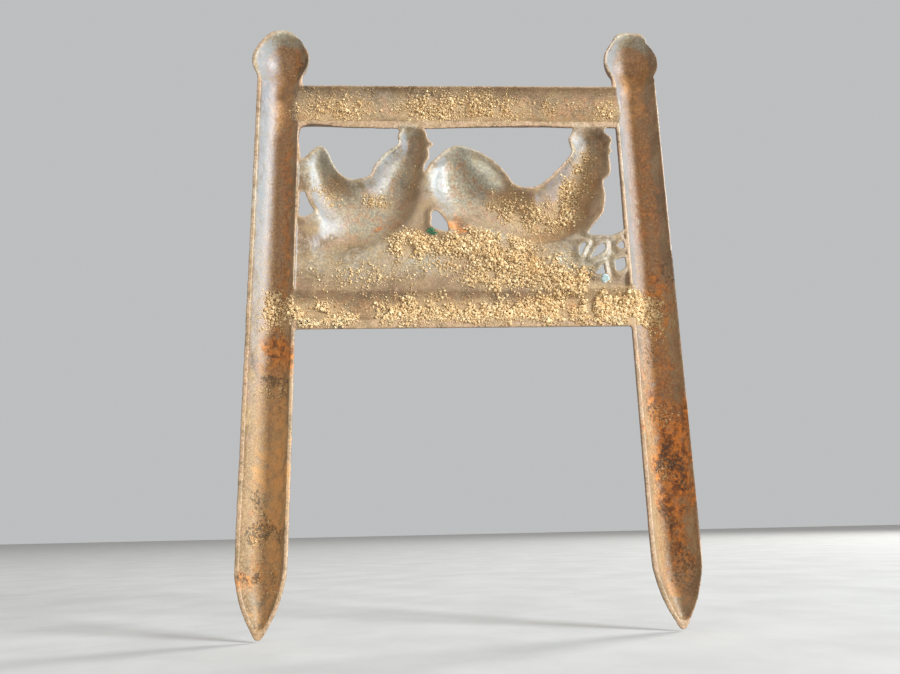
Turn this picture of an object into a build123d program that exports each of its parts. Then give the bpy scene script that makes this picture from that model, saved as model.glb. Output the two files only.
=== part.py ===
"""Cast-iron garden border panel: two spiked posts, two rails and a pair of hens in relief.

Millimetres. X runs across the panel and Z up. The relief faces -Y and the hollow back +Y.
Left and right are as seen from the front. The relief is drawn from the hollow back, on the
plane BACK, whose own x runs towards -X and whose y is the height above the spike tips.
The real panel is a single casting; it is cut here into its members, which meet face to face.
"""

import os
from math import hypot

from build123d import *

# Driving dimensions
HEIGHT = 305.0  # spike tips to finial tops
POST_SPACING = 186.6  # centre to centre
POST_RADIUS = 12.1  # the posts are half-round channels
FINIAL_RADIUS = 15.2
WALL = 2.4
CORE_SHIFT = 0.8  # the hollow sits this far towards -X of the outer form
SPIKE_LENGTH = 31.0
TIP_RADIUS = 1.6
POST_TOP = 272.0

TOP_RAIL = (247.5, POST_TOP)  # bottom and top edges
TOP_RAIL_DEPTH = 9.0
BOTTOM_RAIL = (139.5, 160.5)
BOTTOM_RAIL_DEPTH = 8.0

PLATE = 3.0  # thickness of the relief between its swellings
PAST = 1.5  # how far a cutting outline runs past the edge that it meets

DEPTH = FINIAL_RADIUS
RIM_Y = DEPTH / 2
POST_X = POST_SPACING / 2
SIDES = {"left": -POST_X, "right": POST_X}
BACK = Plane(origin=(0, RIM_Y, 0), x_dir=(-1, 0, 0), z_dir=(0, 1, 0))

# Seams and openings on BACK
EDGE = POST_X - POST_RADIUS + PAST
CEILING = TOP_RAIL[0] + PAST
HENS_MEET = [(-5, 240), (-16.8, 224.5), (-14.5, 199), (-12.5, 194.5)]
UNDER_RIGHT_HEN = [(-12.5, 194.5), (-23, 189), (-31, 183), (-42, 177), (-56, 172), (-EDGE, 168)]
UNDER_LEFT_HEN = [(-12.5, 194.5), (4, 198), (16, 193), (28, 184), (38, 176.5), (46, 180), (56, 186)]
TUFT_TOP = [(56, 186), (63.5, 190), (73, 197)]
TUFT_FOOT = (54, BOTTOM_RAIL[1])

# Gaps behind the right hen, between the hens and in the grass tuft
SMALL_OPENINGS = [
    [(-83, 213), (-79.3, 211.7), (-77.2, 206.8), (-74, 201), (-79, 197.5), (-83, 197)],
    [
        (-15.2, 199), (-14, 200.9), (-10.7, 198.5), (-7.4, 193.2),
        (-7.3, 190), (-13.8, 191.7), (-15.4, 194),
    ],
    [(62.2, 184), (60, 183.2), (58, 180), (58.7, 177.3), (60.2, 179.5)],
    [(71.3, 183.7), (68, 182), (64, 175.5), (68.5, 177.3), (71.6, 182.5)],
    [(83, 185.2), (80, 184.6), (77.5, 181.8), (83, 179.6)],
    [(83, 176.5), (77, 174.7), (75.7, 173.6), (76.4, 168.4), (83, 171)],
    [(70, 172.2), (65.7, 167.1), (69.8, 167.1)],
]

# Tail, body and neck of each hen: start, end, half width, depth
SWELLINGS = [
    ((-73, 232), (-50, 196), 10.5, 8),
    ((-74, 190), (-20, 210), 16, 12),
    ((-48, 190), (-22, 243), 12.5, 10.5),
    ((-9, 229), (7, 197), 15.5, 10),
    ((-2, 218), (60, 186), 14, 12),
    ((34, 188), (70, 242), 12.5, 12),
]

# Members of the relief between posts and rails
MEMBERS = {
    "right_hen": [(-EDGE, CEILING), (-5, CEILING), *HENS_MEET, *UNDER_RIGHT_HEN[1:]],
    "left_hen": [
        (-5, CEILING), *HENS_MEET, *UNDER_LEFT_HEN[1:], *TUFT_TOP[1:], (80, 200), (80, CEILING),
    ],
    "grass_mound": [
        *UNDER_LEFT_HEN, TUFT_FOOT, (-EDGE, BOTTOM_RAIL[1]), *reversed(UNDER_RIGHT_HEN[1:]),
    ],
    "grass_tuft": [*TUFT_TOP, (EDGE, 197), (EDGE, BOTTOM_RAIL[1]), TUFT_FOOT],
}

os.makedirs("parts", exist_ok=True)


def save(piece, name):
    """Labels a finished piece and writes it under that name."""
    piece.part.label = name
    export_step(piece.part, f"parts/{name}.step")


def upright(x):
    """Plane through a post's axis: its x is the radius and its y the height."""
    return Plane(origin=(x, RIM_Y, 0), x_dir=(1, 0, 0), z_dir=(0, -1, 0))


def turn(profile, x, mode):
    """Turns an outline about a post's axis."""
    revolve(profile.sketch, axis=Axis((x, RIM_Y, 0), (0, 0, 1)), mode=mode)


def keep_front():
    """Removes whatever stands behind the rim."""
    with BuildSketch(BACK) as behind:
        with Locations((0, HEIGHT / 2)):
            Rectangle(2 * HEIGHT, 2 * HEIGHT)
    extrude(behind.sketch, amount=3 * DEPTH, mode=Mode.SUBTRACT)


def finial_turning(x, inset, mode):
    """Onion finial: neck, swelling and rounded point."""
    with BuildSketch(upright(x)) as profile:
        with BuildLine():
            Line((0, POST_TOP), (POST_RADIUS - inset, POST_TOP))
            Spline(
                (POST_RADIUS - inset, POST_TOP),
                (POST_RADIUS - inset, POST_TOP + 4),
                (13.8 - inset, POST_TOP + 9.5),
                (FINIAL_RADIUS - inset, POST_TOP + 16),
                (13.1 - inset, POST_TOP + 24.5),
                (7.4 - 0.8 * inset, POST_TOP + 30.6 - 0.8 * inset),
                (0, HEIGHT - inset),
                tangents=((0, 1), (-1, 0)),
            )
            Line((0, HEIGHT - inset), (0, POST_TOP))
        make_face()
    turn(profile, x, mode)


def spike_turning(x, inset, mode):
    """Ogive point with a blunt tip."""
    low = 1.8 * inset
    tip = TIP_RADIUS if inset == 0 else TIP_RADIUS / 4
    with BuildSketch(upright(x)) as profile:
        with BuildLine():
            Line((0, SPIKE_LENGTH), (POST_RADIUS - inset, SPIKE_LENGTH))
            ThreePointArc((POST_RADIUS - inset, SPIKE_LENGTH), (8.7 - inset, 15 + low / 3), (tip, low))
            Line((tip, low), (0, low))
            Line((0, low), (0, SPIKE_LENGTH))
        make_face()
    turn(profile, x, mode)


def make_finial(name, x):
    with BuildPart() as finial:
        finial_turning(x, 0, Mode.ADD)
        finial_turning(x - CORE_SHIFT, WALL, Mode.SUBTRACT)
        keep_front()
    save(finial, f"{name}_finial")


def make_post(name, x):
    with BuildPart() as post:
        with BuildSketch(Plane.XY.offset(SPIKE_LENGTH)):
            with Locations((x, RIM_Y)):
                Circle(POST_RADIUS)
            with Locations((x - CORE_SHIFT, RIM_Y)):
                Circle(POST_RADIUS - WALL, mode=Mode.SUBTRACT)
        extrude(amount=POST_TOP - SPIKE_LENGTH)
        keep_front()
    save(post, f"{name}_post")


def make_spike(name, x):
    with BuildPart() as spike:
        spike_turning(x, 0, Mode.ADD)
        spike_turning(x - CORE_SHIFT, WALL, Mode.SUBTRACT)
        keep_front()
    save(spike, f"{name}_spike")


def clear_posts():
    """Leaves room for the posts, whose round outsides the other members meet."""
    for x in SIDES.values():
        with BuildSketch(Plane.XY.offset(BOTTOM_RAIL[0] - PAST)) as shaft:
            with Locations((x, RIM_Y)):
                Circle(POST_RADIUS)
        extrude(shaft.sketch, amount=HEIGHT, mode=Mode.SUBTRACT)


def make_rail(name, edges, depth):
    """Half-oval channel from post to post, open to the back."""
    bottom, top = edges
    middle = (bottom + top) / 2
    with BuildPart() as rail:
        with BuildSketch(Plane(origin=(-POST_X, RIM_Y, middle), x_dir=(0, -1, 0), z_dir=(1, 0, 0))):
            Ellipse(depth, (top - bottom) / 2)
            Ellipse(depth - WALL, (top - bottom) / 2 - WALL, mode=Mode.SUBTRACT)
        extrude(amount=POST_SPACING)
        keep_front()
        clear_posts()
    save(rail, name)


def swelling(start, end, half_width, depth, inset=0.0, mode=Mode.ADD):
    """Barrel-backed swelling between two points of the relief, rising to depth in its middle."""
    half_width = half_width - inset
    depth = depth - inset
    length = hypot(end[0] - start[0], end[1] - start[1]) - 2 * inset
    radius = (half_width**2 + depth**2) / (2 * depth)
    lift = radius - depth
    first, last = BACK.from_local_coords(start), BACK.from_local_coords(end)
    along = (last - first).normalized()
    origin = (first + last) / 2 + Vector(0, lift, 0)
    with BuildSketch(Plane(origin=origin, x_dir=along, z_dir=along.cross(Vector(0, -1, 0)))) as profile:
        with BuildLine():
            Line((-length / 2, 0), (-length / 2, lift))
            ThreePointArc((-length / 2, lift), (0, radius), (length / 2, lift))
            Line((length / 2, lift), (length / 2, 0))
            Line((length / 2, 0), (-length / 2, 0))
        make_face()
    revolve(profile.sketch, axis=Axis(origin, along), mode=mode)


with BuildPart() as relief:
    with BuildSketch(BACK):
        with Locations((0, (BOTTOM_RAIL[1] + TOP_RAIL[0]) / 2)):
            Rectangle(POST_SPACING, TOP_RAIL[0] - BOTTOM_RAIL[1])
    extrude(amount=-PLATE)
    for start, end, half_width, depth in SWELLINGS:
        swelling(start, end, half_width, depth)
    for start, end, half_width, depth in SWELLINGS:
        swelling(start, end, half_width, depth, inset=WALL, mode=Mode.SUBTRACT)
    keep_front()
    clear_posts()
    # over the right hen's back, tail to head
    with BuildSketch(BACK):
        with BuildLine():
            Polyline((-83, 229), (-83, CEILING), (-32, CEILING), (-31.8, 238.5))
            Spline(
                (-31.8, 238.5), (-38.5, 233), (-45.2, 222.5), (-54, 218.4),
                (-61.5, 221.5), (-66, 230), (-71, 236.9), (-77, 233), (-83, 229),
            )
        make_face()
    extrude(amount=-DEPTH, mode=Mode.SUBTRACT)
    # from the right hen's face over the left hen's back
    with BuildSketch(BACK):
        with BuildLine():
            Polyline(
                (57.8, 233.8), (56.2, 241), (59.4, CEILING), (-18.3, CEILING), (-17, 243),
                (-13.6, 237.5), (-16.2, 235), (-15.8, 232.5), (-18.5, 222.3),
            )
            Spline(
                (-18.5, 222.3), (-12, 230.8), (0, 237.1), (12, 232.2), (21, 224.6),
                (29.5, 214.5), (38, 214), (48.5, 221.8), (57.8, 233.8),
            )
        make_face()
    extrude(amount=-DEPTH, mode=Mode.SUBTRACT)
    # before the left hen's face and breast
    with BuildSketch(BACK):
        with BuildLine():
            Polyline(
                (63.6, 188.9), (83, 190), (83, CEILING), (76.8, CEILING), (79.3, 240),
                (77.4, 231.7), (77.6, 223), (73.2, 217.3), (73.8, 210.5),
            )
            Spline((73.8, 210.5), (71.6, 199), (63.6, 188.9))
        make_face()
    extrude(amount=-DEPTH, mode=Mode.SUBTRACT)
    for corners in SMALL_OPENINGS:
        with BuildSketch(BACK):
            with BuildLine():
                Polyline(*corners, close=True)
            make_face()
        extrude(amount=-DEPTH, mode=Mode.SUBTRACT)

for name, outline in MEMBERS.items():
    with BuildPart() as member:
        add(relief.part)
        with BuildSketch(BACK):
            with BuildLine():
                Polyline(*outline, close=True)
            make_face()
        extrude(amount=-2 * DEPTH, mode=Mode.INTERSECT)
    save(member, name)

for side, x in SIDES.items():
    make_spike(side, x)
    make_post(side, x)
    make_finial(side, x)

make_rail("top_rail", TOP_RAIL, TOP_RAIL_DEPTH)
make_rail("bottom_rail", BOTTOM_RAIL, BOTTOM_RAIL_DEPTH)
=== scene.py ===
"""Looks of the cast-iron border panel: one rough shell for each member of the casting,
the soil caked in its hollows, traces of old paint, a pale floor and soft studio light.

Work space: millimetres (u, v, n) as seen from the hollow back. u runs to the viewer's right
(-X of the frame), v is the height (Z) and n comes out of the back (+Y) from the rim plane.
"""

import bpy
import numpy as np
from mathutils import Matrix, Vector


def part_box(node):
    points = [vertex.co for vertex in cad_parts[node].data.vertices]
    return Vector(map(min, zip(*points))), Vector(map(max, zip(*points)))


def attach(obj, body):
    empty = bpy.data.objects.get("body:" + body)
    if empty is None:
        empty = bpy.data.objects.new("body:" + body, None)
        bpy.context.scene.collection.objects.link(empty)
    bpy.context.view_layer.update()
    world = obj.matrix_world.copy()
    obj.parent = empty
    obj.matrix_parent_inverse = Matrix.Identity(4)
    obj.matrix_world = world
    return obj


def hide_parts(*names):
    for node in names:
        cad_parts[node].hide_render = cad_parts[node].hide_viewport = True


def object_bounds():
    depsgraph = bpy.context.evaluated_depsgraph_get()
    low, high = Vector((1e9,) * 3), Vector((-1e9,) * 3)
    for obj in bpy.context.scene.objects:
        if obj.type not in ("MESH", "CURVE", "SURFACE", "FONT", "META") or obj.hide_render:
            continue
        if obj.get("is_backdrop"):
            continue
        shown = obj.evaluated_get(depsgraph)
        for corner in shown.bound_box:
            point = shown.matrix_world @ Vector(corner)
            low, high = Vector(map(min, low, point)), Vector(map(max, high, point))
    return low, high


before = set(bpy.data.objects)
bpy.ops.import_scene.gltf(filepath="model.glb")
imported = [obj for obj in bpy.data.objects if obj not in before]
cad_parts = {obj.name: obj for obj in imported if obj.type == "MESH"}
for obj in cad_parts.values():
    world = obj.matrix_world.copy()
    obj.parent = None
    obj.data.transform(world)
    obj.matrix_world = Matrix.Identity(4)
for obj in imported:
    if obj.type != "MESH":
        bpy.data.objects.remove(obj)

CAD_LOW, CAD_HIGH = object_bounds()
MM = 0.001
STEP = 0.55  # grid spacing of the shells


def corners_mm(node):
    """Lowest and highest corner of a CAD node in millimetres."""
    low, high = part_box(node)
    return np.array(low) / MM, np.array(high) / MM


# Sizes read from the frame
RIM_Y = CAD_HIGH.y / MM
HEIGHT = CAD_HIGH.z / MM
POST_LOW, POST_HIGH = corners_mm("right_post")
POST_U = (POST_LOW[0] + POST_HIGH[0]) / 2
POST_R = (POST_HIGH[0] - POST_LOW[0]) / 2
SPIKE_TOP, POST_TOP = POST_LOW[2], POST_HIGH[2]
TOP_RAIL = [corner[2] for corner in corners_mm("top_rail")]
BOTTOM_RAIL = [corner[2] for corner in corners_mm("bottom_rail")]
BALL_R = CAD_HIGH.x / MM - POST_U
INNER_EDGE = POST_U - POST_R
SIDES = {"right": -1, "left": 1}  # as seen from the front, with the sign of u

# The grid on which the casting is worked out
MARGIN = 3 * STEP
U_LINE = np.arange(-POST_U - BALL_R - MARGIN, POST_U + BALL_R + MARGIN, STEP, dtype=np.float32)
V_LINE = np.arange(-MARGIN, HEIGHT + MARGIN, STEP, dtype=np.float32)
N_LINE = np.arange(-BALL_R - MARGIN, MARGIN, STEP, dtype=np.float32)
U, V = U_LINE[:, None], V_LINE[None, :]


# ---- small tools

def smoothstep(low, high, x):
    t = np.clip((x - low) / (high - low), 0, 1)
    return t * t * (3 - 2 * t)


def smooth_max(a, b, k):
    h = np.maximum(k - np.abs(a - b), 0) / k
    return np.maximum(a, b) + h * h * k / 4


def smooth_min(a, b, k):
    return -smooth_max(-a, -b, k)


def blurred(field, times):
    """A grid softened by its neighbours, one cell further each time."""
    for _ in range(times):
        for axis in (0, 1):
            near = np.roll(field, 1, axis) + np.roll(field, -1, axis)
            field = 0.5 * field + 0.25 * near
    return field


def lattice(seed, *cells):
    """Random value from 0 to 1 for each integer lattice point, from a hash of its coordinates."""
    h = np.full(cells[0].shape, seed * 0x9E3779B1 & 0xFFFFFFFF, np.uint32)
    for c, k in zip(cells, (0x85EBCA6B, 0xC2B2AE35, 0x27D4EB2F)):
        h = (h ^ (c.astype(np.int64) & 0xFFFFFFFF).astype(np.uint32)) * np.uint32(k)
        h ^= h >> np.uint32(15)
    h *= np.uint32(0x2C1B3C6D)
    h ^= h >> np.uint32(13)
    return h.astype(np.float32) / np.float32(2**32)


def value_noise(seed, size, *coords):
    """Smooth noise from -1 to 1 with features about size across."""
    grid = [np.asarray(c, np.float32) / size for c in np.broadcast_arrays(*coords)]
    base = [np.floor(g) for g in grid]
    part = [g - b for g, b in zip(grid, base)]
    part = [p * p * p * (p * (p * 6 - 15) + 10) for p in part]
    total = 0
    for corner in range(2 ** len(grid)):
        weight, cell = 1, []
        for axis, (b, p) in enumerate(zip(base, part)):
            bit = corner >> axis & 1
            weight = weight * (p if bit else 1 - p)
            cell.append(b + bit)
        total = total + weight * lattice(seed, *cell)
    return total * 2 - 1


def fractal(seed, size, octaves, *coords):
    """Sum of halving noises, about -1 to 1."""
    total, scale = 0, 1.0
    for i in range(octaves):
        total = total + scale * value_noise(seed + 17 * i, size / 2**i, *coords)
        scale *= 0.55
    return total / 1.6


def through(points, per_span=10):
    """A smooth open curve through the points, as many closely spaced points."""
    p = np.array(points, float)
    p = np.vstack([2 * p[0] - p[1], p, 2 * p[-1] - p[-2]])
    t = np.linspace(0, 1, per_span, endpoint=False)[:, None]
    spans = []
    for a, b, c, d in zip(p, p[1:], p[2:], p[3:]):
        square, cube = 2 * a - 5 * b + 4 * c - d, 3 * b - a - 3 * c + d
        spans.append(0.5 * (2 * b + (c - a) * t + square * t**2 + cube * t**3))
    return np.vstack(spans + [p[-2:-1]])


def loop(*stretches):
    """A closed outline of stretches: two points are a straight side, more are a curve."""
    sides = [through(s) if len(s) > 2 else np.array(s, float) for s in stretches]
    return np.vstack([s[:-1] for s in sides])


def ring(*points):
    """A closed outline that is one curve."""
    return loop([*points, points[0]])


def inside(outline, u, v):
    """Whether each point is inside a closed outline."""
    result = np.zeros(np.broadcast(u, v).shape, bool)
    for (ua, va), (ub, vb) in zip(outline, np.roll(outline, -1, 0)):
        if va != vb:
            crosses = (va > v) != (vb > v)
            result ^= crosses & (u < (ub - ua) * (v - va) / (vb - va) + ua)
    return result


def grid_part(path, margin):
    """Slices of the plane's grid that hold a path with a margin round it."""
    low, high = path.min(0) - margin, path.max(0) + margin
    us = slice(*np.searchsorted(U_LINE, (low[0], high[0])))
    return us, slice(*np.searchsorted(V_LINE, (low[1], high[1])))


def distance_to(path, u, v, closed=False):
    """Distance from each point to a path, and how far along the path's points the nearest one is."""
    ends = np.roll(path, -1, 0) if closed else path[1:]
    best = np.full(np.broadcast(u, v).shape, 1e9, np.float32)
    where = np.zeros_like(best)
    for i, (a, b) in enumerate(zip(path, ends)):
        du, dv = b[0] - a[0], b[1] - a[1]
        t = np.clip(((u - a[0]) * du + (v - a[1]) * dv) / max(du * du + dv * dv, 1e-9), 0, 1)
        d = np.hypot(u - a[0] - t * du, v - a[1] - t * dv)
        nearer = d < best
        best = np.where(nearer, d, best)
        where = np.where(nearer, i + t, where)
    return best, where


# ---- the outline

def turned_profile(u_sign):
    """Heights and radii up a post: blunt spike, shaft, neck and ball."""
    spike = [(0.35, 0.5), (1.2, 2.0), (5.5, 4.3), (10.7, 6.9), (17, 9.2), (24, 10.9), (SPIKE_TOP, 11.7)]
    shaft = [(60, 11.9), (130, 11.9), (200, 11.8), (255, 11.8)]
    ball = [
        (POST_TOP, 11.8), (276, 11.8), (279, 12.5), (282, 13.9), (284.5, 14.7), (287.5, 15.0),
        (291, 14.5), (295, 12.7), (299, 10.1), (302, 7.2), (303.9, 4.2), (304.7, 0.6),
    ]
    if u_sign > 0:
        ball[-3:] = [(302.2, 8.2), (304.2, 5.4), (304.7, 1.0)]
    return through(spike + shaft + ball)


# Windows of the panel, with the birds' outlines between them
WINDOW_TAIL = loop(
    [(-81.2, 229.5), (-81.2, 247.9), (-57, 247.2), (-32.4, 246.6)],
    [(-32.4, 246.6), (-31.5, 245.2), (-32.3, 242.3), (-31.5, 239.3), (-32.6, 237.2)],
    [
        (-32.6, 237.2), (-38.2, 233.1), (-41.2, 229.6), (-43.9, 226.3), (-45.4, 222.3), (-47.8, 219.7),
        (-54, 218.4), (-58.6, 219.4), (-62.6, 223), (-66, 230), (-68.3, 234.6), (-71, 236.9),
        (-74, 235.7), (-77, 233), (-79.4, 230.4), (-81.2, 229.5),
    ],
)
WINDOW_GAP = ring(
    (-81.2, 211), (-79.3, 211.6), (-78.2, 210), (-77.1, 206.8), (-76, 204.4), (-74.1, 201.6),
    (-74.3, 200.2), (-77, 198.6), (-79, 197.7), (-81.2, 199), (-81.2, 205),
)
WINDOW_MIDDLE = loop(
    [(-18.4, 246.5), (-8, 246.8), (8, 247.5), (40, 248.2), (56, 247.4), (59.6, 247.4)],
    [(59.6, 247.4), (58, 244.4), (56.3, 241), (56.6, 237.4), (57.8, 233.8)],
    [
        (57.8, 233.8), (56, 231), (51.5, 225.6), (45, 218.9), (38, 214.2), (31.5, 213.8), (26.8, 216.1),
        (23.6, 220.7), (21, 224.5), (16, 229.6), (8, 234.3), (0, 237.1), (-5.8, 236), (-12, 230.8),
        (-16, 226.8), (-18.5, 222.3),
    ],
    [(-18.5, 222.3), (-18.7, 223.6), (-17.7, 227.2), (-16.2, 229.4), (-15.8, 232.5), (-16.3, 235)],
    [
        (-16.3, 235), (-14.4, 236.5), (-13.5, 237.6), (-14.2, 238.5), (-16.4, 240.9), (-17.1, 243.1),
        (-18.4, 246.5),
    ],
)
WINDOW_SMALL = ring(
    (-15.3, 199), (-14, 200.9), (-11.8, 200.2), (-9, 196.2), (-7.4, 193.2), (-7.4, 190.2),
    (-10, 190.4), (-13.8, 191.7), (-15.4, 194), (-15, 197),
)
WINDOW_FACE = loop(
    [(76, 246.4), (77, 247.4), (81.6, 247.4)],
    [(81.6, 247.4), (82, 246), (82.1, 220), (81.8, 191)],
    [(81.8, 191), (80, 189.7), (77, 188.2), (74, 187.4), (70, 187.8), (66.5, 187.7), (63.6, 188.8)],
    [
        (63.6, 188.8), (66.5, 193), (70, 197.2), (71.8, 199.6), (72.8, 203.5), (73.7, 210.3), (73.2, 214),
        (73.3, 217.3),
    ],
    [(73.3, 217.3), (76.3, 220), (77.5, 223), (77.3, 231.6)],
    [(77.3, 231.6), (78.9, 234), (78.1, 236), (79.3, 240), (78.5, 242.2), (76, 244.6), (76, 246.4)],
)
TUFT_HOLES = [
    ring((62.3, 183.6), (60.4, 183.2), (58.2, 180.6), (58.5, 177.5), (59.6, 177.6), (60.4, 179.8)),
    ring((71.4, 183.5), (68, 182), (65.4, 178.3), (64, 175.5), (68.4, 177.2), (71.1, 179.8)),
    ring((80, 184.6), (77.6, 181.9), (80.5, 180.2), (81.1, 183)),
    ring((80.9, 175.8), (77, 174.6), (75.8, 173.4), (76.4, 168.4), (79, 168.9), (81.1, 171)),
    ring((70, 172.2), (67.9, 170), (65.7, 167.2), (70.2, 167), (70.4, 169.6)),
]
# Each window's outline, and how far it is drawn in because rounding the edges widens it
WINDOWS = [(w, 0.1) for w in (WINDOW_TAIL, WINDOW_GAP, WINDOW_MIDDLE, WINDOW_SMALL, WINDOW_FACE)]
WINDOWS += [(hole, 0.35) for hole in TUFT_HOLES]

# Seams between the members of the relief, where the CAD cuts them or up to 1.2 mm from there,
# which keeps them off the steep walls of the rails and posts
EDGE = INNER_EDGE - 1.2
CEILING = TOP_RAIL[0]
FLOOR = BOTTOM_RAIL[1] + 1.2
HENS_MEET = [(-5, CEILING), (-5, 240), (-16.8, 224.5), (-14.5, 199), (-12.5, 194.5)]
UNDER_RIGHT_HEN = [(-23, 189), (-31, 183), (-42, 177), (-56, 172), (-EDGE, 168)]
UNDER_LEFT_HEN = [(4, 198), (16, 193), (28, 184), (38, 176.5), (46, 180), (56, 186)]
LEFT_HEN_SEAM = [*HENS_MEET, *UNDER_LEFT_HEN, (63.5, 190), (73, 197), (80, 200), (80, CEILING)]
TUFT_SEAM = [(56, 186), (63.5, 190), (73, 197), (EDGE, 197), (EDGE, FLOOR), (54, FLOOR)]

# ---- hollows of the back

# Troughs beaten into the back of each bird: u, v, half width, depth along a line
HEN_TROUGHS = [
    [(-74, 231, 5.5, 3.2), (-70, 222, 9, 5.5), (-64, 210, 14, 8.5), (-54, 199, 19, 10.5)],
    [(-66, 184, 13, 5), (-52, 197, 20, 10.5), (-39, 206, 19, 11), (-32, 221, 14.5, 10.3),
     (-26.5, 235, 10.5, 8), (-23.5, 244, 8.5, 6)],
    [(-4, 226, 11.5, 6.5), (-1, 215, 17, 9.5), (8, 206, 15, 9.5), (22, 201.5, 15.5, 10.5),
     (38, 196.5, 16.5, 11.3), (50, 202, 18, 11.8), (59, 215, 14.5, 11.3), (66, 230, 11, 9.3),
     (70, 243, 9, 7)],
]
MOUND_TROUGHS = [
    [(-46, 171, 14, 1.8), (-20, 174, 14, 3.2), (10, 172, 16, 4.0), (38, 166, 12, 3.0), (52, 163, 7, 1.2)],
    [(-74, 176, 12, 1.0), (-50, 168, 12, 1.6)],
]


def trough_depth(lines, u, v):
    """Depth of rounded troughs that run along lines of (u, v, half width, depth)."""
    total = np.zeros(np.broadcast(u, v).shape, np.float32)
    for line in lines:
        path = through(line, 6)
        index = np.arange(len(path))
        distance, where = distance_to(path[:, :2], u, v)
        half = np.interp(where, index, path[:, 2])
        deep = np.interp(where, index, path[:, 3])
        q = np.clip(distance / half, 0, 1)
        total = smooth_max(total, deep * (1 - q**2.6) ** 1.7, 3.0)
    return blurred(total, 3)


BIRDS = trough_depth(HEN_TROUGHS, U, V)

# ---- relief of the front

# Combs, wattles, beaks and eyes of both birds: u, v, half width, half height, turn, height
COMBS_AND_WATTLES = [
    (61.5, 243.6, 2.6, 2.0, 0.5, 0.9), (65.8, 245.6, 2.4, 2.0, 0.2, 0.9),
    (70.2, 246.2, 2.2, 1.8, -0.1, 0.9), (76.2, 234.6, 1.7, 3.0, 0.1, 0.9),
    (-29.8, 242.4, 2.2, 1.8, 0.5, 0.9), (-26.0, 244.6, 2.2, 1.8, 0.2, 0.9),
    (-21.8, 245.2, 2.0, 1.6, -0.1, 0.9), (-17.6, 233.4, 1.4, 2.6, 0.1, 0.8),
]
BEAKS_AND_EYES = [
    (77.0, 240.2, 2.6, 1.1, -0.05, 0.8), (71.6, 240.6, 1.3, 1.3, 0, 0.8),
    (-16.6, 238.2, 2.3, 1.0, -0.05, 0.7), (-21.6, 239.2, 1.2, 1.2, 0, 0.8),
]
# Wings: u, v, half length, half width, turn
WINGS = [(31, 200.5, 16, 8.5, -0.12), (-49, 199.5, 13.5, 8.0, 0.75)]
# Ribs of the tails: line, spacing, height
TAIL_RIBS = [(HEN_TROUGHS[0], 5.0, 0.7), (HEN_TROUGHS[2][:4], 5.5, 0.8)]
# Stretches of plumage: line, row length, feather width, height
BODY_FEATHERS = [(HEN_TROUGHS[1][:4], 5.2, 4.8, 0.75), (HEN_TROUGHS[2][2:7], 5.6, 5.2, 0.8)]
NECK_FEATHERS = [(HEN_TROUGHS[1][3:], 6.0, 2.6, 0.6), (HEN_TROUGHS[2][6:], 6.5, 2.8, 0.65)]
GRASS_BLADES = 64
DETAIL_SCALE = 1.35  # makes up for the detail's softening


def beside_line(line, u, v):
    """Distance along a line, signed distance across it, and that distance over the half width."""
    path = through(line, 6)
    distance, where = distance_to(path[:, :2], u, v)
    index = np.arange(len(path))
    steps = np.hypot(*np.diff(path[:, :2], axis=0).T)
    along = np.interp(where, index, np.concatenate([[0], np.cumsum(steps)]))
    start = np.clip(where.astype(int), 0, len(path) - 2)
    way = path[start + 1, :2] - path[start, :2]
    side = np.sign(way[..., 0] * (v - path[start, 1]) - way[..., 1] * (u - path[start, 0]))
    return along, side * distance, distance / np.interp(where, index, path[:, 2])


def feathers(line, length, width, height, u, v):
    """Rows of overlapping rounded feathers whose tips point to the start of the line."""
    along, across, share = beside_line(line, u, v)
    row = np.floor(along / length)
    x = 2 * np.mod(across / width + 0.5 * np.mod(row, 2), 1) - 1
    y = along / length - row
    tip = 0.4 * x * x
    raised = np.where(y > tip, 1 - 0.85 * (y - tip) / (1 - tip), 0.05)
    raised = raised - 0.25 * np.exp(-((x / 0.16) ** 2)) * (y > tip)
    return height * np.clip(raised, 0, 1) * smoothstep(1.0, 0.8, share)


def ellipse_axes(u, v, cu, cv, turn):
    """Coordinates along and across an ellipse turned anticlockwise."""
    a = (u - cu) * np.cos(turn) + (v - cv) * np.sin(turn)
    return a, (v - cv) * np.cos(turn) - (u - cu) * np.sin(turn)


def grass_detail():
    """Height of curved blades of grass that grow at random over the mound."""
    rng = np.random.default_rng(7)
    grass = np.zeros((U_LINE.size, V_LINE.size), np.float32)
    for _ in range(GRASS_BLADES):
        cu, cv = rng.uniform(-82, 84), rng.uniform(160, 176)
        lean, tall = rng.uniform(-0.5, 0.5), rng.uniform(9, 17)
        blade = through([(cu, cv), (cu + lean * 3, cv + tall * 0.5), (cu + lean * tall, cv + tall)], 6)
        near = grid_part(blade, 3)
        distance, where = distance_to(blade, U[near[0]], V[:, near[1]])
        wide = 1.5 * (1 - 0.75 * where / len(blade))
        grass[near] = np.maximum(grass[near], smoothstep(wide, 0.2 * wide, distance))
    return grass


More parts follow.
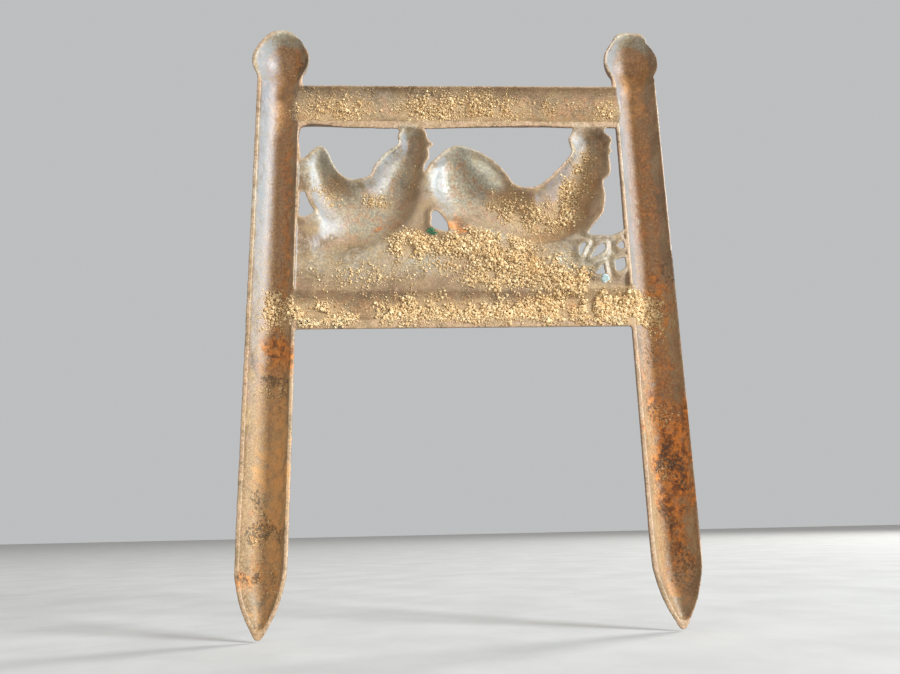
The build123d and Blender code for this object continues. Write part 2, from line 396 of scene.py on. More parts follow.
def front_detail():
    """How far feathers, wings, heads and grass stand out from the front, guessed from the back."""
    raised = np.zeros((U_LINE.size, V_LINE.size), np.float32)
    for line, length, width, height in BODY_FEATHERS + NECK_FEATHERS:
        raised = np.maximum(raised, feathers(line, length, width, height, U, V))
    for line, width, height in TAIL_RIBS:
        along, across, share = beside_line(line, U, V)
        rib = np.abs(np.sin(np.pi * across / width + 0.02 * along)) ** 0.7
        raised = np.maximum(raised, height * rib * smoothstep(1.0, 0.8, share))
    for cu, cv, long, wide, turn in WINGS:
        a, b = ellipse_axes(U, V, cu, cv, turn)
        q = np.hypot(a / long, b / (wide * (1 - 0.35 * smoothstep(0, -1, a / long))))
        blade = np.abs(np.sin(np.pi * (b + 0.06 * a) / 2.9)) ** 0.6
        covert = np.mod(a / 4.5 + 0.18 * (b / 2.9) ** 2, 1)
        pattern = np.where(a > long * 0.15, 0.35 + 0.5 * (1 - covert), 0.3 + 0.6 * blade)
        raised = np.where(q < 1, (0.9 + 0.8 * pattern) * smoothstep(1.0, 0.86, q), raised)
    birds = smoothstep(0.5, 2.5, BIRDS)
    raised = raised * birds + grass_detail() * (1 - birds) * (V > FLOOR + 0.5)
    for cu, cv, wide, high, turn, height in COMBS_AND_WATTLES + BEAKS_AND_EYES:
        a, b = ellipse_axes(U, V, cu, cv, turn)
        q = np.hypot(a / wide, b / high)
        raised = np.maximum(raised, height * np.sqrt(np.clip(1 - q * q, 0, 1)))
    return DETAIL_SCALE * blurred(raised, 1) * (np.abs(U) < INNER_EDGE)


# ---- the casting as one field

RIM = -0.3  # the rims lie this far inside the CAD's rim plane, to leave room for their roughness
WALL = 2.4  # between the hollow back and the relief on the front
REACH = 12.0  # distances to the windows are worked out this far from them
POST_WALLS = {-1: 2.0, 1: 1.5}  # for each side's sign
RAIL_RADII = (8.8, 7.8)  # how far the round fronts of the top and bottom rail stand out


def slope_length(height):
    """Length of the surface over one unit of the plane."""
    du, dv = np.gradient(height, STEP)
    return np.sqrt(1 + du * du + dv * dv)


def window_distance():
    """Distance to the nearest window, negative inside it."""
    nearest = np.full((U_LINE.size, V_LINE.size), REACH, np.float32)
    for outline, drawn_in in WINDOWS:
        near = grid_part(outline, REACH)
        u, v = U[near[0]], V[:, near[1]]
        distance, _ = distance_to(outline, u, v, closed=True)
        distance[inside(outline, u, v)] *= -1
        nearest[near] = np.minimum(nearest[near], distance + drawn_in)
    return nearest


def rail_hollow(low, high, depth, soft_top=0.0):
    """Depth of a rail's channel, which opens into the posts at both ends. Its top edge may be soft."""
    across = (V - (low + high) / 2) / ((high - low) / 2)
    q = np.clip(np.abs(across), 0, 1)
    steep = (1 - q**2.6) ** 0.62
    gentle = (1 - q**2) ** 1.25
    share = soft_top * smoothstep(-0.2, 0.4, across)
    return depth * (steep + share * (gentle - steep)) * (np.abs(U) < POST_U)


def post_hollow(side):
    """Depth of the round channel of one post and its ball, and the radius outside it."""
    profile = turned_profile(side)
    radius = np.interp(V_LINE, profile[:, 0], profile[:, 1], left=-1, right=-1)
    ball = smoothstep(POST_TOP, POST_TOP + 9, V_LINE)
    shift = np.where(side > 0, 0.8, 0.1 + 0.7 * ball)
    wall = POST_WALLS[side]
    inner = radius - wall
    for d in np.linspace(-wall, wall, 15):  # as thick a wall when measured square to the surface
        beside = np.interp(V_LINE + d, profile[:, 0], profile[:, 1], left=-9, right=-9)
        inner = np.minimum(inner, beside - np.sqrt(max(wall * wall - d * d, 0)))
    inner = np.convolve(np.pad(inner, 6, "edge"), np.ones(13) / 13, "valid") + 0.5 * ball
    inner = np.clip(inner, 0.01, None)[None, :]
    q = np.clip((U - side * POST_U - shift[None, :]) / inner, -1, 1)
    return inner * (1 - q * q) ** 0.72, radius


def back_hollows(to_edge):
    """Depth of the hollow back, the depth without the posts' channels, and the posts' outer radii."""
    mound = trough_depth(MOUND_TROUGHS, U, V)
    relief = smooth_max(BIRDS, mound, 2.5) * smoothstep(0.2, 4.6, to_edge) + 0.25
    relief = relief * smoothstep(CEILING + 1, CEILING - 5, V) * smoothstep(FLOOR - 15, FLOOR - 8, V)
    relief = relief * (np.abs(U) < INNER_EDGE + 1)
    hollow = smooth_max(relief, rail_hollow(TOP_RAIL[0] + 3.2, TOP_RAIL[1] - 1.1, 6.2), 0.8)
    hollow = smooth_max(hollow, rail_hollow(BOTTOM_RAIL[0] + 4.6, BOTTOM_RAIL[1] + 1.5, 5.6, 0.9), 0.8)
    panel = hollow
    radii = {}
    for side in SIDES.values():
        depth, radii[side] = post_hollow(side)
        depth = depth + smoothstep(POST_TOP - 2, POST_TOP + 12, V) * (blurred(depth, 16) - depth)
        hollow = smooth_max(hollow, depth, 1.0)
    return hollow, panel, radii


def outer_field(panel, radii, to_edge):
    """Field that is negative inside the outer form: the relief, the rails and the round posts."""
    n = N_LINE[None, None, :]
    thinned = 0.62 + 0.38 * smoothstep(0, 3, to_edge)  # towards the windows
    front = -(panel + WALL) * thinned
    front = front - front_detail() * smoothstep(0.2, 1.4, to_edge)
    plate = (front[:, :, None] - n) / slope_length(front)[:, :, None]
    box = np.maximum(np.abs(U) - INNER_EDGE - 3, np.maximum(FLOOR - 9 - V, V - CEILING - 6))
    outer = np.maximum(plate, box[:, :, None])
    for (low, high), deep in zip((TOP_RAIL, BOTTOM_RAIL), RAIL_RADII):
        half = (high - low) / 2 - 0.15
        across = (V - (low + high) / 2) / half
        rail = (np.sqrt(across[:, :, None] ** 2 + (n / deep) ** 2) - 1) * min(half, deep)
        ends = (np.abs(U) - POST_U)[:, :, None]
        outer = smooth_min(outer, np.maximum(rail, ends), 2.0)
    for side, radius in radii.items():
        slope = np.sqrt(1 + np.gradient(radius, STEP) ** 2)[None, :, None]
        near = slice(*np.searchsorted(U_LINE, sorted((side * (POST_U - 20), side * (POST_U + 20)))))
        across = (U[near] - side * POST_U)[:, :, None]
        post = (np.sqrt(across**2 + n * n) - radius[None, :, None]) / slope
        outer[near] = smooth_min(outer[near], post, 1.2)
    return outer


def solid_field():
    """Field that is negative inside the iron, and the back's hollow and window distance on the plane."""
    window = window_distance()
    window = window + (0.16 * fractal(3, 3.2, 3, U, V) + 0.1 * value_noise(9, 1.1, U, V))
    to_edge = np.clip(window, 0, REACH)
    hollow, panel, radii = back_hollows(to_edge)
    outer = outer_field(panel, radii, to_edge)
    back = RIM - hollow
    n = N_LINE[None, None, :]
    field = smooth_max(outer, (n - back[:, :, None]) / slope_length(back)[:, :, None], 0.7)
    # flash along the rim plane narrows the windows, and they widen towards the front
    flash = 0.55 * smoothstep(0.1, 0.9, fractal(21, 6, 3, U, V))
    opening = -window[:, :, None] - 0.06 * n - (flash[:, :, None] * np.exp(-((n / 1.1) ** 2)))
    return smooth_max(field, opening, 0.5).astype(np.float32), hollow, window


# ---- members and their meshes

MEMBERS = [
    "right_post", "left_post", "right_spike", "left_spike", "right_finial", "left_finial",
    "top_rail", "bottom_rail", "grass_mound", "right_hen", "left_hen", "grass_tuft",
]


def member_map():
    """Number of the member that each point of the plane belongs to."""
    right_hen = np.array([(-EDGE, CEILING), *HENS_MEET, *UNDER_RIGHT_HEN], float)
    areas = [
        ("right_hen", inside(right_hen, U, V)),
        ("left_hen", inside(np.array(LEFT_HEN_SEAM, float), U, V)),
        ("grass_tuft", inside(np.array(TUFT_SEAM, float), U, V)),
        ("top_rail", V > CEILING),
        ("bottom_rail", V < FLOOR),
    ]
    for name, side in SIDES.items():
        column = side * U > EDGE
        areas.append((f"{name}_post", column & (V < POST_TOP)))
        areas.append((f"{name}_spike", column & (V < SPIKE_TOP)))
        # the balls and their necks swell past the posts' edges
        areas.append((f"{name}_finial", (side * U > 0) & (V > POST_TOP)))
    member = np.full((U_LINE.size, V_LINE.size), MEMBERS.index("grass_mound"), np.int8)
    for name, area in areas:
        member[np.broadcast_to(area, member.shape)] = MEMBERS.index(name)
    return member


def cell_points(total, cells, points):
    """Mean of the points that fall in each cell, and how many there are."""
    count = np.bincount(cells, minlength=total)
    mean = np.stack([np.bincount(cells, p, minlength=total) for p in points.T], 1)
    return mean / np.maximum(count, 1)[:, None], count


def shell_faces(field, member):
    """Surface nets: a point for each cell that the surface or a seam crosses, the faces between them,
    each face's member, and whether it closes a seam. Members share the points along their seams, so
    no gap shows there."""
    solid = field < 0
    shape = np.array(field.shape) - 1
    stride = np.array([shape[1] * shape[2], shape[2], 1])
    surface, seams, faces = [], [], []
    for a in range(3):
        b, c = (a + 1) % 3, (a + 2) % 3
        low = tuple(slice(None, -1) if axis == a else slice(None) for axis in range(3))
        high = tuple(slice(1, None) if axis == a else slice(None) for axis in range(3))
        crossing = solid[low] != solid[high]
        if a < 2:
            owner = np.broadcast_to(member[:, :, None], field.shape)
            crossing |= solid[low] & solid[high] & (owner[low] != owner[high])
        at = np.argwhere(crossing)
        after = at + np.eye(3, dtype=int)[a]
        here, there = field[tuple(at.T)], field[tuple(after.T)]
        own_here, own_there = member[at[:, 0], at[:, 1]], member[after[:, 0], after[:, 1]]
        is_seam = (here < 0) & (there < 0)
        share = np.where(is_seam, 0.5, here / np.where(is_seam, 1, here - there))
        point = at.astype(np.float64)
        point[:, a] += share
        # the four cells round each edge of the grid that the surface or a seam crosses
        round_edge = [db * stride[b] + dc * stride[c] for db, dc in ((-1, -1), (0, -1), (0, 0), (-1, 0))]
        cells = (at @ stride)[:, None] + round_edge
        for store, chosen in ((surface, ~is_seam), (seams, is_seam)):
            store.append((cells[chosen].ravel(), np.repeat(point[chosen], 4, 0)))
        outward = here < 0
        flipped = cells[:, ::-1]
        quads = np.where(outward[:, None], cells, flipped)
        faces.append((quads[~is_seam], np.where(outward, own_here, own_there)[~is_seam], False))
        faces.append((cells[is_seam], own_here[is_seam], True))
        faces.append((flipped[is_seam], own_there[is_seam], True))
    total = int(np.prod(shape))
    point, count = cell_points(total, *(np.concatenate(x) for x in zip(*surface)))
    between, seam_count = cell_points(total, *(np.concatenate(x) for x in zip(*seams)))
    point[count == 0] = between[count == 0]
    used = np.flatnonzero(count + seam_count)
    renumber = np.zeros(total, np.int64)
    renumber[used] = np.arange(used.size)
    origin = np.array([U_LINE[0], V_LINE[0], N_LINE[0]])
    quads = renumber[np.concatenate([f[0] for f in faces])]
    owners = np.concatenate([f[1] for f in faces])
    on_seam = np.concatenate([np.full(len(f[0]), f[2]) for f in faces])
    return point[used] * STEP + origin, quads, owners, on_seam


def face_normals(point, quads):
    return np.cross(point[quads[:, 2]] - point[quads[:, 0]], point[quads[:, 3]] - point[quads[:, 1]])


def unit(vectors):
    return vectors / np.maximum(np.linalg.norm(vectors, axis=1, keepdims=True), 1e-12)


def point_normals(point, quads):
    """Normals of the points from the faces round them, larger faces counting more."""
    corners = np.repeat(face_normals(point, quads), 4, 0)
    return unit(cell_points(len(point), quads.ravel(), corners)[0])


def relaxed(point, quads, share):
    """Moves each point part of the way to the mean of its neighbours, which softens the grid's steps."""
    ends = np.concatenate([quads[:, [i, (i + 1) % 4]] for i in range(4)])
    ends = np.concatenate([ends, ends[:, ::-1]])
    mean, count = cell_points(len(point), ends[:, 0], point[ends[:, 1]])
    return point + np.where(count[:, None] > 0, share * (mean - point), 0)


def frame_axes(vectors):
    """Vectors of the work space along the frame's axes."""
    return np.stack([-vectors[:, 0], vectors[:, 2], vectors[:, 1]], 1)


def mesh_object(name, point, faces, material, masks=None):
    """A smooth-shaded mesh object from points and faces in work space, riding on the panel."""
    mesh = bpy.data.meshes.new(name)
    mesh.from_pydata(((frame_axes(point) + (0, RIM_Y, 0)) * MM).tolist(), [], faces)
    mesh.shade_smooth()
    for key, values in (masks or {}).items():
        attribute = mesh.attributes.new(key, "FLOAT", "POINT")
        attribute.data.foreach_set("value", values.astype(np.float32))
    mesh.materials.append(material)
    piece = bpy.data.objects.new(name, mesh)
    bpy.context.scene.collection.objects.link(piece)
    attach(piece, "root")
    return piece


def roughen(point, normal):
    """Sand-cast skin and rust scale, as a push along the normals."""
    u, v, n = point.T
    skin = 0.07 * fractal(41, 5.0, 3, u, v, n) + 0.035 * value_noise(45, 0.9, u, v, n)
    scale = smoothstep(0.25, 0.7, fractal(51, 4.2, 3, u, v, n))
    skin = skin + 0.07 * scale * (1 + value_noise(57, 1.3, u, v, n))
    pits = smoothstep(0.62, 0.85, value_noise(61, 1.7, u, v, n))
    nicks = smoothstep(-2.2, -0.4, n) * (0.22 * fractal(63, 3.4, 3, u, v, n) - 0.05)
    return point + normal * (skin + nicks - 0.13 * pits)[:, None]


def kept_in_box(point):
    """Keeps the shell inside the CAD model's box."""
    low = np.array([-CAD_HIGH.x / MM, 0, CAD_LOW.y / MM - RIM_Y]) + 0.02
    high = np.array([-CAD_LOW.x / MM, HEIGHT, 0]) - 0.02
    return np.clip(point, low, high)


# ---- where soil, rust, paint and the grey film lie, with painted highlight among them

# Ellipses on the back: u, v, half width, half height, strength
SOIL = [
    # top rail
    (-80, 262, 8, 8, 0.6), (-66, 260, 16, 8, 0.9), (-52, 262, 10, 7, 0.7), (-12, 262, 20, 8, 1.0),
    (9, 262, 16, 8, 1.0), (28, 260, 10, 8, 0.8), (48, 261, 7, 6, 0.6), (60, 262, 6, 5, 0.45),
    (78, 259, 8, 8, 0.65),
    # bottom rail and the feet of both posts
    (-93, 158, 4, 10, 0.8), (-90, 150, 8, 6, 0.8), (-77, 147, 18, 7, 1.0), (-60, 145, 9, 4, 0.9),
    (-30, 150, 14, 7, 1.0), (-15, 150, 12, 6, 0.9), (5, 149, 14, 6, 0.9), (25, 149, 16, 6, 0.9),
    (45, 151, 14, 8, 0.95), (62, 151, 14, 9, 1.1), (78, 151, 14, 9, 1.1), (92, 149, 8, 7, 1.0),
    (97, 141, 5, 6, 0.5), (60, 159, 18, 4, 0.9), (80, 157, 12, 4, 0.9),
    # mound
    (-25, 184, 11, 7, 1.0), (-10, 184, 9, 6, 0.7), (5, 184, 12, 8, 1.05), (20, 178, 14, 10, 1.1),
    (35, 171, 14, 8, 1.1), (50, 165, 12, 6, 1.05), (15, 167, 16, 7, 0.8), (-10, 173, 12, 5, 0.4),
    (-48, 167, 22, 7, 0.3),
    # the hens' bodies and necks
    (22, 207, 9, 5, 0.8), (32, 202, 10, 6, 0.95), (42, 199, 12, 7, 1.0), (52, 203, 9, 8, 1.0),
    (59, 214, 7, 9, 1.0), (63, 225, 6, 9, 0.9), (67, 234, 4, 6, 0.65), (-43, 210, 6, 4, 0.8),
    (-68, 213, 7, 6, 0.5), (-26, 224, 5, 8, 0.35),
    # spikes
    (-97, 44, 5, 12, 0.3), (-92, 112, 6, 4, 0.55), (95, 96, 5, 6, 0.45), (94, 70, 4, 6, 0.4),
    (-90, 30, 5, 12, 0.3), (-92, 288, 5, 6, 0.3),
]
DUST = [
    (-97, 66, 8, 66, 0.75), (-99, 150, 7, 60, 0.5), (-84, 70, 4, 60, 0.5), (87, 66, 4, 60, 0.6),
    (97, 262, 6, 24, 0.2), (86, 110, 4, 110, 0.4), (-30, 175, 50, 12, 0.45), (-70, 172, 14, 14, 0.45),
    (40, 176, 30, 12, 0.5), (0, 142, 84, 4, 0.4), (0, 250, 84, 3, 0.45), (0, 260, 84, 9, 0.45),
    (-94, 14, 8, 14, 0.5), (95, 14, 8, 14, 0.4), (66, 230, 12, 16, 0.4), (-74, 222, 8, 16, 0.35),
    (70, 174, 16, 14, 0.4),
]
TAN = [
    (-90, 66, 7, 56, 0.8), (-92, 262, 7, 12, 0.3), (96, 16, 5, 12, 0.4),
    (92, 125, 6, 16, 0.4), (-92, 12, 6, 12, 0.6), (95, 270, 7, 24, 0.35),
]
RUST = [
    (-90, 129, 6, 9, 1.0), (-93, 122, 8, 5, 0.6), (-90, 140, 5, 10, 0.4), (98, 90, 8, 16, 0.85),
    (96, 78, 9, 12, 1.0), (98, 62, 8, 16, 0.8), (96, 40, 7, 18, 0.55), (96, 24, 5, 12, 0.35),
    (95, 118, 7, 20, 0.45), (96, 152, 6, 22, 0.55), (57, 152, 4, 3, 0.8), (-3, 194, 9, 5, 0.55),
    (3, 181, 8, 5, 0.5), (-90, 60, 5, 40, 0.4), (-89, 200, 5, 60, 0.35), (-99, 26, 4, 5, 0.6),
    (-86, 288, 5, 8, 0.3), (96, 215, 6, 50, 0.25), (84, 100, 2, 26, 0.4), (-36, 194, 8, 4, 0.3),
    (-92, 160, 5, 12, 0.3), (97, 270, 5, 20, 0.25),
]
DARK = [
    (-81.5, 283, 4.6, 5.6, 1.0), (-93, 114, 6, 3.2, 1.0), (-96, 48, 5, 8, 0.8), (-99, 60, 3, 4, 0.6),
    (-90, 43, 5, 4, 0.6), (96, 76, 5, 9, 1.0), (99, 66, 4, 7, 0.8), (93, 96, 4, 4, 0.6),
    (95, 50, 6, 9, 0.7), (97, 30, 5, 12, 0.6), (-78, 269, 3, 1.8, 0.9), (-61, 139.9, 5, 1.3, 1.0),
    (-44, 139.9, 4, 1.2, 0.9), (-20, 140, 8, 1.0, 0.6), (92, 128, 6, 8, 0.4), (102, 168, 2.5, 10, 0.6),
    (-99, 27, 2.5, 3, 0.9), (-14, 269.4, 10, 1.5, 0.6), (-104, 118, 2, 30, 0.35),
]
RED = [(cu, cv, wide * 1.3, high * 1.3, 0.9) for cu, cv, wide, high, *_ in COMBS_AND_WATTLES]
# A blue-grey film on the iron, partly painted highlight: many of its zones sit on the walls that face the
# key light, pale like a sky reflection
GREY = [
    (-50, 202, 22, 18, 0.9), (-34, 224, 10, 18, 0.9), (-72, 226, 9, 14, 0.8), (2, 218, 17, 20, 1.0),
    (20, 196, 18, 12, 0.6), (-55, 176, 28, 12, 0.5), (-20, 176, 14, 9, 0.7), (62, 176, 20, 14, 0.6),
    (64, 236, 9, 13, 0.6), (70, 178, 14, 14, 0.45), (-30, 262, 60, 9, 0.55), (-98, 210, 7, 70, 0.6),
    (-98, 290, 8, 12, 0.8),
    (88, 288, 8, 12, 0.8), (-92, 300, 12, 6, 0.7), (94, 300, 12, 6, 0.7), (-25, 243, 8, 7, 0.6),
    (88, 230, 4, 50, 0.5),
]


def spread(zones, u, v, edge=0.45):
    """Strength from 0 up of soft ellipses, the strongest at each point."""
    total = np.zeros(np.broadcast(u, v).shape, np.float32)
    for cu, cv, wide, high, strength in zones:
        q = np.sqrt(((u - cu) / wide) ** 2 + ((v - cv) / high) ** 2)
        total = np.maximum(total, strength * smoothstep(1 + edge, 1 - edge, q))
    return total


def on_grid(plane, u, v):
    """Values of a plane's grid at points between its lines."""
    i = np.clip((u - U_LINE[0]) / STEP, 0, U_LINE.size - 1.001)
    j = np.clip((v - V_LINE[0]) / STEP, 0, V_LINE.size - 1.001)
    a, b = i.astype(int), j.astype(int)
    p, q = i - a, j - b
    low = plane[a, b] * (1 - q) + plane[a, b + 1] * q
    high = plane[a + 1, b] * (1 - q) + plane[a + 1, b + 1] * q
    return low * (1 - p) + high * p


def soil_cover(u, v):
    """How thickly soil lies, from 0 to about 1, broken into clumps."""
    clumps = 0.5 + 0.5 * fractal(71, 7, 3, u, v)
    near = spread(SOIL, u + 2 * value_noise(73, 5, u, v), v + 2 * value_noise(74, 5, u, v), 0.75)
    return near * smoothstep(0.1, 0.5, clumps)


def skin_masks(point, normal, hollow, window):
    """What each point of the skin is covered with, and where highlight is painted on it, as numbers from 0
    to 1 for the material.
    """
    u, v, n = point.T
    back = smoothstep(-0.1, 0.5, normal[:, 2])
    front = 1 - back
    deep = on_grid(hollow, u, v)
    su = u + 4 * value_noise(81, 9, u, v, n)
    sv = v + 4 * value_noise(82, 9, u, v, n)
    # the grey zones are partly painted highlight on the walls that face the key light
    zones = {
        "soil": (SOIL + DUST, 0.6), "rust": (RUST, 0.7), "dark": (DARK, 0.45), "grey": (GREY, 0.7),
        "tan": (TAN, 0.7),
    }
    masks = {}
    for name, (zone, edge) in zones.items():
        masks[name] = back * np.clip(spread(zone, su, sv, edge), 0, 1)
    masks["rust"] += 0.25 * front
    in_post = smoothstep(INNER_EDGE + 1, INNER_EDGE + 5, np.abs(u))
    in_panel = 0.5 * smoothstep(3, 6, deep) * (1 - in_post)
    masks["floor"] = back * (smoothstep(4.5, 8.6, deep) * in_post + in_panel)
    # painted highlight: the walls of the hollows that face the key light are given a pale blue-grey sheen
    # colour
    to_light = smoothstep(0.0, 0.95, normal[:, 0])
    masks["wall"] = back * to_light * smoothstep(0.8, 2.5, deep) * smoothstep(60, 190, v)
    relief = (np.abs(u) < INNER_EDGE) & (v > FLOOR) & (v < CEILING)
    flat = 0.85 * smoothstep(1.6, 0.5, deep) * (1 - relief)
    near_window = smoothstep(1.8, 0.3, on_grid(window, u, v))
    in_tuft = smoothstep(52, 58, u) * smoothstep(200, 194, v)
    masks["rim"] = back * np.maximum(flat, near_window * (1 - 0.95 * in_tuft) * relief)
    bird = smoothstep(1.0, 3.5, on_grid(BIRDS, su, sv))
    masks["green"] = front * relief * (1 - bird) * smoothstep(FLOOR - 1, FLOOR + 4, v)
    masks["blue"] = front * relief * bird
    masks["red"] = front * spread(RED, u, v)
    masks["front"] = front
    return masks


# ---- the casting's pieces

def build_casting(material):
    """Makes the members' shells. Gives the back's hollow and the distance to the windows."""
    field, hollow, window = solid_field()
    point, quads, owners, on_seam = shell_faces(field, member_map())
    skin_quads = quads[~on_seam]
    point = relaxed(point, skin_quads, 0.5)
    skin = np.unique(skin_quads)
    rough = roughen(point, point_normals(point, skin_quads))
    point[skin] = kept_in_box(rough[skin])
    normal = point_normals(point, skin_quads)
    seam_normal = unit(face_normals(point, quads))
    masks = skin_masks(point, normal, hollow, window)
    for number, name in enumerate(MEMBERS):
        mine = owners == number
        used, local = np.unique(quads[mine], return_inverse=True)
        faces = local.reshape(-1, 4).tolist()
        own_masks = {key: values[used] for key, values in masks.items()}
        piece = mesh_object(f"{name}_shell", point[used], faces, material, own_masks)
        corner_normals = normal[quads[mine]]
        corner_normals[on_seam[mine]] = seam_normal[mine][on_seam[mine]][:, None, :]
        piece.data.normals_split_custom_set(frame_axes(corner_normals.reshape(-1, 3)).tolist())
        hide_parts(name)
    return hollow, window


# ---- soil and paint

# Where each piece of soil lies: two corners (u, v), and how coarse its crumbs are
SOIL_AREAS = [
    ("on_top_rail", (-105, 248), (92, 300), 0.19),
    ("in_right_foot", (-104, 134), (0, 162), 0.26),
    ("in_left_foot", (0, 134), (104, 162), 0.3),
    ("on_mound", (-80, 162), (81, 192), 0.28),
    ("on_hens", (-80, 192), (81, 246), 0.21),
    ("in_spikes", (-103, 15), (103, 134), 0.22),
]
CRUMBS_TRIED = 7.0  # for each square millimetre
FINE = 0.36  # crumbs below this size are octahedra


def crumb_shapes():
    """Points and triangles of an octahedron, and of the ball that it makes when cut once."""
    corners = [(1, 0, 0), (-1, 0, 0), (0, 1, 0), (0, -1, 0), (0, 0, 1), (0, 0, -1)]
    sides = [(0, 2, 4), (2, 1, 4), (1, 3, 4), (3, 0, 4), (2, 0, 5), (1, 2, 5), (3, 1, 5), (0, 3, 5)]
    points = [np.array(corner, float) for corner in corners]
    middles = {}
    cut = []
    for x, y, z in sides:
        for i, j in ((x, y), (y, z), (z, x)):
            key = frozenset((i, j))
            if key not in middles:
                middles[key] = len(points)
                points.append(points[i] + points[j])
        xy, yz, zx = (middles[frozenset(pair)] for pair in ((x, y), (y, z), (z, x)))
        cut += [(x, xy, zx), (y, yz, xy), (z, zx, yz), (xy, yz, zx)]
    plain = np.array(corners, float), np.array(sides)
    return plain, (unit(np.array(points)), np.array(cut))


def random_turns(rng, count):
    """Random rotation matrices, from unit quaternions."""
    a, b, c, d = unit(rng.normal(size=(count, 4))).T
    return np.stack([
        1 - 2 * (c * c + d * d), 2 * (b * c - a * d), 2 * (b * d + a * c),
        2 * (b * c + a * d), 1 - 2 * (b * b + d * d), 2 * (c * d - a * b),
        2 * (b * d - a * c), 2 * (c * d + a * b), 1 - 2 * (b * b + c * c),
    ], 1).reshape(-1, 3, 3)


def add_soil(name, low, high, coarse, hollow, window, material, seed):
    """Crumbs of soil on the back between two corners (u, v) of the plane, about coarse mm in radius."""
    rng = np.random.default_rng(seed)
    area = (high[0] - low[0]) * (high[1] - low[1])
    u, v = rng.uniform(low, high, (int(area * CRUMBS_TRIED), 2)).T
    cover = soil_cover(u, v)
    deep = on_grid(hollow, u, v)
    in_channel = (np.abs(u) > EDGE) & (deep > 1.2)
    in_panel = (np.abs(u) <= EDGE) & (v > BOTTOM_RAIL[0] + 1) & (v < TOP_RAIL[1] - 1.2)
    on_iron = (on_grid(window, u, v) > 0.7) & (in_channel | in_panel)
    kept = on_iron & (rng.uniform(size=u.size) < cover * 1.1)
    u, v, cover = u[kept], v[kept], cover[kept]
    size = coarse * np.exp(0.45 * rng.normal(size=u.size)) * (0.6 + 0.6 * cover)
    size = np.clip(size, 0.12, 0.9)
    height = RIM - deep[kept] + size * 0.3 + cover**2 * rng.uniform(0, 1.2, u.size)
    centre = np.stack([u, v, height], 1)
    points, faces, tones = [], [], []
    start = 0
    for (ball, triangles), chosen in zip(crumb_shapes(), (size < FINE, size >= FINE)):
        count = int(chosen.sum())
        bumps = 1 + 0.3 * rng.normal(size=(count, len(ball), 1)).clip(-1.6, 1.6)
        stretch = rng.uniform(0.6, 1.35, (count, 1, 3)) * size[chosen, None, None]
        shape = np.einsum("kij,kpj->kpi", random_turns(rng, count), ball[None] * bumps * stretch)
        points.append((shape + centre[chosen, None, :]).reshape(-1, 3))
        first = start + np.arange(count) * len(ball)
        faces += (first[:, None, None] + triangles[None]).reshape(-1, 3).tolist()
        tones.append(np.repeat(rng.uniform(size=count), len(ball)))
        start += count * len(ball)
    point = kept_in_box(np.concatenate(points))
    piece = mesh_object(name, point, faces, material, {"tone": np.concatenate(tones)})
    piece.data.shade_flat()


FILM_RINGS = 6
FILM_SPOKES = 40


def add_film(name, spots, hollow, material, seed):
    """Thin flakes of old paint on the back, each an ellipse (u, v, half width, half height)."""
    angle = np.linspace(0, 2 * np.pi, FILM_SPOKES, endpoint=False)
    share = np.arange(1, FILM_RINGS + 1)[:, None] / FILM_RINGS
    points, faces = [], []
    for number, (cu, cv, wide, high) in enumerate(spots):
        ragged = 1 + 0.22 * value_noise(seed + number, 0.9, 1.8 * np.cos(angle), 1.8 * np.sin(angle))
        u = np.append(cu + wide * share * ragged * np.cos(angle), cu)
        v = np.append(cv + high * share * ragged * np.sin(angle), cv)
        iron = RIM - on_grid(hollow, u, v)
        crown = 0.3 * (1 - 0.85 * np.append(np.repeat(share, FILM_SPOKES), 0) ** 4)
        upper, lower = np.arange(2 * u.size).reshape(2, -1) + sum(len(p) for p in points)
        points += [np.stack([u, v, iron + crown], 1), np.stack([u, v, iron - 0.15], 1)]
        rims = []
        for sheet, turn in ((upper, 1), (lower, -1)):
            here = sheet[:-1].reshape(FILM_RINGS, FILM_SPOKES)
            after = np.roll(here, -1, 1)
            fan = np.stack([np.full(FILM_SPOKES, sheet[-1]), here[0], after[0]], 1)
            quads = np.stack([here[:-1], here[1:], after[1:], after[:-1]], -1).reshape(-1, 4)
            faces += fan[:, ::turn].tolist() + quads[:, ::turn].tolist()
            rims += [here[-1], after[-1]]
        # the flake's side, between the rims of its upper and lower sheet
        faces += np.stack([rims[0], rims[2], rims[3], rims[1]], 1).tolist()
    mesh_object(name, kept_in_box(np.concatenate(points)), faces, material)


# ---- materials

def linear(red, green, blue):
    """Shader colour from 0 to 255 screen values."""
    c = np.array([red, green, blue]) / 255
    c = np.where(c <= 0.04045, c / 12.92, ((c + 0.055) / 1.055) ** 2.4)
    return (*c.tolist(), 1)


